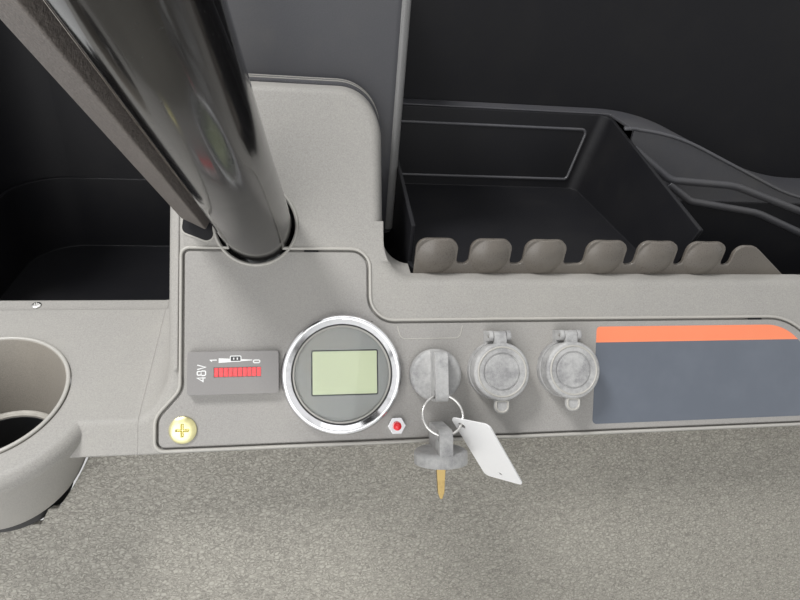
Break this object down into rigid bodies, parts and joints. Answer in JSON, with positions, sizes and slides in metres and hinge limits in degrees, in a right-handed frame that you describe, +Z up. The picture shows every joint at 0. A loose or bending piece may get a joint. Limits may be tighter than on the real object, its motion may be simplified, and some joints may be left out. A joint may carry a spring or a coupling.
{
  "type": "dashboard of a small electric utility vehicle",
  "caption": "Moulded vehicle dashboard with a column pod, instrument panel, capped sockets, cup shelves, ball rail, tray and steering column.",
  "frame": {"origin": "centre of the bolt pattern on the rear face of the cowl liner, at gauge height", "axes": "+X to the passenger side, +Y forward out of the liner's rear face, +Z up"},
  "size_m": [1.08, 0.5314, 0.6062],
  "materials": {
    "dash_grey": "fine moulded grain",
    "liner_black": "smooth satin",
    "rail_grey": "semi gloss",
    "mat_grey": "coarse pebble grain",
    "black_plastic": "satin",
    "gloss_black": "gloss",
    "weathered_grey": "worn satin",
    "chrome": "polished",
    "display": "unlit liquid crystal",
    "glass": "clear",
    "red": "red lens",
    "steel": "plain steel",
    "zinc": "yellow zinc plate",
    "painted_steel": "black powder coat",
    "bronze": "sintered bush",
    "card": "plain white card"
  },
  "bodies": {
    "dash": {"ball_rail": "rail_grey", "battery_meter": "black_plastic", "bracket_left": "painted_steel", "bracket_right": "painted_steel", "column_channel": "rail_grey", "column_clamp": "painted_steel", "column_cover": "gloss_black", "column_jacket": "painted_steel", "column_saddle": "painted_steel", "cowl_liner": "liner_black", "cross_tube": "painted_steel", "cup_holder_left": "black_plastic", "cup_holder_right": "black_plastic", "cup_ring_left": "rail_grey", "cup_ring_right": "rail_grey", "cup_shelf_left": "dash_grey", "cup_shelf_right": "dash_grey", "dash_moulding": "dash_grey", "gauge_bezel": "chrome", "gauge_case": "black_plastic", "gauge_dial": "black_plastic", "gauge_display": "display", "gauge_glass": "glass", "hinge_pin_1": "steel", "hinge_pin_2": "steel", "ignition_key": "weathered_grey", "indicator_lens": "red", "indicator_nut": "chrome", "instrument_panel": "dash_grey", "key_ring": "steel", "key_switch": "black_plastic", "key_tag": "card", "left_bin": "liner_black", "lower_bushing": "bronze", "lower_panel": "mat_grey", "meter_bar": "red", "panel_screw": "zinc", "rear_ledge": "liner_black", "right_bin": "liner_black", "riser": "liner_black", "socket_1": "weathered_grey", "socket_2": "weathered_grey", "spare_blade": "steel", "spare_key": "weathered_grey", "tray": "liner_black", "upper_bushing": "bronze"},
    "steering": {"steering_shaft": "steel"},
    "cap_one": {"cap_1": "weathered_grey"},
    "cap_two": {"cap_2": "weathered_grey"}
  },
  "joints": [
    {"name": "steering_turn", "type": "hinge", "parent": "dash", "child": "steering", "pos_m": [-0.274, -0.24128, 0.08495], "axis": [-0.0541, -0.7432, 0.6669], "range_deg": [-540, 540]},
    {"name": "cap_1_hinge", "type": "hinge", "parent": "dash", "child": "cap_one", "pos_m": [-0.1035, -0.29801, 0.02728], "axis": [-1, 0, 0], "range_deg": [0, 150]},
    {"name": "cap_2_hinge", "type": "hinge", "parent": "dash", "child": "cap_two", "pos_m": [-0.05, -0.29801, 0.02728], "axis": [-1, 0, 0], "range_deg": [0, 150]}
  ]
}
